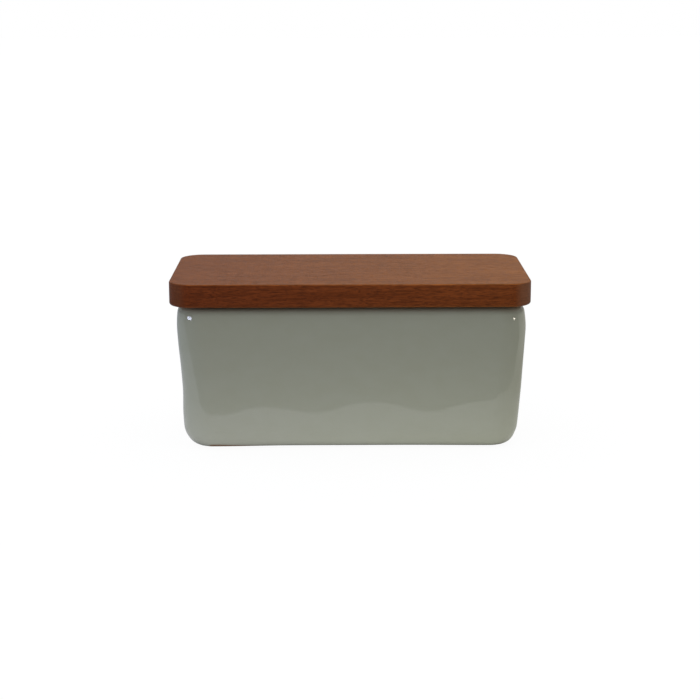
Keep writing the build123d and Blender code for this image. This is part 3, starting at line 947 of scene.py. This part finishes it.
studio = {
    "floorReach": 4.0,                       # metres each way
    # the white sheet on it: its front edge under the middle, the lines (X, slope) that bound it,
    # how far back they may run, and over what width the edge is soft
    "sheetFront": -83.8, "sheetEdges": ((0.0, -0.07), (98.3, 0.6), (-54.5, -0.15)),
    "sheetSides": 80.0, "sheetSoft": 2.4,
    # its tint from left to right, over this width
    # how brightly and in what colour the sheet is lit from left to right, over this width: painted light,
    # dimmer and bluer towards the left, dimmer towards the right
    "sheetLitAcross": ((0.0, "#ABB2BD"), (0.35, "#FAF9FE"), (0.5, "#FFFFFF"), (0.65, "#F9F9F4"),
                  (0.9, "#A5A29A"), (1.0, "#D6D3CB")),
    "sheetWidth": 400.0,
    "sheetLight": 0.9, "table": "#7C7C7C",   # how much light the sheet and the table throw back
    "sheetShine": 0.63,                      # and how bright the glaze mirrors the sheet
    # the share of that which is an even glow, for light and for gloss, and the glow's level
    "glowShare": 0.62, "shineShare": 0.35, "glowLevel": 1.5,
    "contact": (61.0, 23.0, 13.0),           # half sizes and reach of the shade round the foot
    "floorShare": 0.05,                      # how much of the white floor's tone is light on it
    # the sky for soft light: its level, more upwards, and more to the left in its lower half
    "skyLevel": 0.36, "skyUp": 1.22, "skyAcross": -0.17, "skyLeft": "#E8F0FF",
    # what gloss sees behind: its level, more upwards, and less to the sides
    "mirrorBack": 0.5, "mirrorUp": 0.6, "mirrorSides": -0.42,
    "darkFrom": 0.05, "darkTo": -0.15,       # the dark half of the room is in front
    "leftLamp": {"colour": "#DDE2FF", "from": (-67.2, -34.5, 58.2), "azimuth": -63.2, "height": -2.4,
                 "reach": 900.0, "size": (306, 49), "power": 0.65},
    "rightLamp": {"colour": "#FFF6E6", "from": (68.7, -33.7, 57.5), "azimuth": 70.7, "height": -1.6,
                  "reach": 500.0, "size": (80, 12), "power": 0.08},
}


def seenPlainly(add, rays):
    # 1 for what the camera sees by itself or through something clear
    return add("Math", {0: rays["Is Camera Ray"], 1: rays["Is Transmission Ray"]}, operation="MAXIMUM")


def onTheSheet(add, parts):
    # 1 on the white sheet, 0 on the table in front of it
    back = None
    for start, slope in studio["sheetEdges"]:
        edge = add("Math", {0: parts["X"], 1: slope, 2: -start * mm * slope}, operation="MULTIPLY_ADD")
        back = edge if back is None else add("Math", {0: edge, 1: back}, operation="MAXIMUM")
    back = add("Math", {0: back, 1: studio["sheetSides"] * mm}, operation="MINIMUM")
    behindEdge = add("Math", {0: parts["Y"], 1: back}, operation="SUBTRACT")
    front, soft = studio["sheetFront"] * mm, studio["sheetSoft"] * mm
    return add("MapRange", {
        "Value": behindEdge, "From Min": front - soft, "From Max": front + soft},
        interpolation_type="SMOOTHSTEP")


def glowRoundTheFoot(add, parts):
    # the floor's even glow, which fades out towards the foot
    halfX, halfY, reach = (each * mm for each in studio["contact"])
    apart = None
    for part, half in ((parts["X"], halfX), (parts["Y"], halfY)):
        away = add("Math", {0: part}, operation="ABSOLUTE")
        away = add("Math", {0: away, 1: half}, operation="SUBTRACT")
        apart = away if apart is None else add("Math", {0: away, 1: apart}, operation="MAXIMUM")
    return add("MapRange", {
        "Value": apart, "From Max": reach, "To Max": studio["glowLevel"]},
        interpolation_type="SMOOTHSTEP")


def sheetFinish():
    # matt white paper on a darker table: where it ends in front shows in the glaze
    made, add, place = startMaterial("matt white paper sweep")
    parts = add("SeparateXYZ", {"Vector": place}).outputs
    rays = add("LightPath").outputs
    glossy, seen = rays["Is Glossy Ray"], seenPlainly(add, rays)
    onSheet = onTheSheet(add, parts)
    half = studio["sheetWidth"] / 2 * mm
    across = add("MapRange", {"Value": parts["X"], "From Min": -half, "From Max": half})
    # painted light on the sheet: how brightly and in what colour it is lit from left to right
    tint = add("ValToRGB", {"Fac": across}, stops=studio["sheetLitAcross"])
    sheet = add("VectorMath", {0: tint, "Scale": studio["sheetLight"]}, operation="SCALE")
    thrown = add("Mix", {
        "Factor": onSheet, "A": linearColour(studio["table"]), "B": sheet}, data_type="RGBA")
    shine = add("Math", {0: onSheet, 1: studio["sheetShine"]}, operation="MULTIPLY")
    mirrored = add("VectorMath", {0: tint, "Scale": shine}, operation="SCALE")
    colour = add("Mix", {"Factor": glossy, "A": thrown, "B": mirrored}, data_type="RGBA")
    colour = add("Mix", {"Factor": seen, "A": colour, "B": (1, 1, 1, 1)}, data_type="RGBA")
    share = add("Mix", {"Factor": glossy, "A": studio["glowShare"], "B": studio["shineShare"]})
    share = add("Mix", {"Factor": seen, "A": share, "B": 1 - studio["floorShare"]})
    level = add("Mix", {"Factor": seen, "A": glowRoundTheFoot(add, parts), "B": 1.0})
    lit = add("BsdfDiffuse", {"Color": colour})
    glowing = add("Emission", {"Color": colour, "Strength": level})
    shader = add("MixShader", {0: share, 1: lit, 2: glowing})
    add("OutputMaterial", {"Surface": shader})
    return made


def floorSheet():
    work = bmesh.new()
    bmesh.ops.create_grid(work, x_segments=8, y_segments=8, size=studio["floorReach"])
    mesh = bpy.data.meshes.new("floor")
    work.to_mesh(mesh)
    work.free()
    mesh.materials.append(sheetFinish())
    looseObject("floor", mesh)


def surroundings():
    # soft light, strongest from above; gloss sees a pale room behind and a dark one in front
    world = bpy.data.worlds.new("studio")
    bpy.context.scene.world = world
    world.use_nodes = True
    world.cycles.sampling_method = "NONE"   # so that each kind of ray sees its own level
    world.node_tree.nodes.clear()
    add = partial(addNode, world.node_tree)
    way = add("TexCoord").outputs["Generated"]
    parts = add("SeparateXYZ", {"Vector": way}).outputs
    rays = add("LightPath").outputs
    seen = seenPlainly(add, rays)
    aside = add("Math", {0: parts["X"]}, operation="ABSOLUTE")
    low = add("Math", {0: 1.0, 1: parts["Z"]}, operation="SUBTRACT")
    lowSide = add("Math", {0: parts["X"], 1: low}, operation="MULTIPLY")
    sky, mirror = studio["skyLevel"], studio["mirrorBack"]
    for part, weight in ((parts["Z"], "skyUp"), (lowSide, "skyAcross")):
        sky = add("Math", {0: part, 1: studio[weight], 2: sky}, operation="MULTIPLY_ADD")
    for part, weight in ((parts["Z"], "mirrorUp"), (aside, "mirrorSides")):
        mirror = add("Math", {0: part, 1: studio[weight], 2: mirror}, operation="MULTIPLY_ADD")
    sky = add("Math", {0: sky, 1: 0.0}, operation="MAXIMUM")
    behind = add("MapRange", {
        "Value": parts["Y"], "From Min": studio["darkTo"], "From Max": studio["darkFrom"]})
    mirror = add("Math", {0: mirror, 1: behind}, operation="MULTIPLY")
    level = add("Mix", {"Factor": rays["Is Glossy Ray"], "A": sky, "B": mirror})
    level = add("Mix", {"Factor": seen, "A": level, "B": 1.0})
    leftwards = add("Math", {0: parts["X"], 1: -1.0}, operation="MULTIPLY", use_clamp=True)
    bluish = add("Math", {0: leftwards, 1: seen}, operation="SUBTRACT", use_clamp=True)
    colour = add("Mix", {
        "Factor": bluish, "A": (1, 1, 1, 1), "B": linearColour(studio["skyLeft"])}, data_type="RGBA")
    background = add("Background", {"Color": colour, "Strength": level})
    add("OutputWorld", {"Surface": background})


def cornerLamp(name, settings):
    # a small softbox that the glaze mirrors at one shoulder; azimuth runs from the front rightwards
    turn, rise = math.radians(settings["azimuth"]), math.radians(settings["height"])
    way = Vector((math.sin(turn) * math.cos(rise), -math.cos(turn) * math.cos(rise), math.sin(rise)))
    data = bpy.data.lights.new(name, "AREA")
    data.shape = "RECTANGLE"
    data.size, data.size_y = (side * mm for side in settings["size"])
    data.energy = settings["power"]
    data.color = linearColour(settings["colour"])[:3]
    lamp = looseObject(name, data)
    lamp.location = (Vector(settings["from"]) + way * settings["reach"]) * mm
    lamp.rotation_mode = "QUATERNION"
    lamp.rotation_quaternion = way.to_track_quat("Z", "Y")
    lamp.visible_camera = False


lens = {"sensor": 36.0, "length": 87.515, "distance": 749.5, "target": (0.115, 0.0, 36.56),
        "pitch": 12.836, "yaw": 0.419, "roll": -0.099}


def camera():
    # looks at its target from the front and a little above
    pitch, yaw, roll = (math.radians(lens[name]) for name in ("pitch", "yaw", "roll"))
    forward = Vector((math.cos(pitch) * math.sin(yaw), math.cos(pitch) * math.cos(yaw), -math.sin(pitch)))
    right = Vector((math.cos(yaw), -math.sin(yaw), 0))
    up = right.cross(forward)
    data = bpy.data.cameras.new("camera")
    data.sensor_width = lens["sensor"]
    data.lens = lens["length"]
    made = looseObject("camera", data)
    columns = (math.cos(roll) * right + math.sin(roll) * up,
               math.cos(roll) * up - math.sin(roll) * right, -forward)
    turn = Matrix(columns).transposed().to_4x4()
    place = (Vector(lens["target"]) - lens["distance"] * forward) * mm
    made.matrix_world = Matrix.Translation(place) @ turn
    bpy.context.scene.camera = made


floorSheet()
surroundings()
cornerLamp("left softbox", studio["leftLamp"])
cornerLamp("right softbox", studio["rightLamp"])
camera()
bpy.context.scene.view_settings.view_transform = "Standard"
print("studio made")
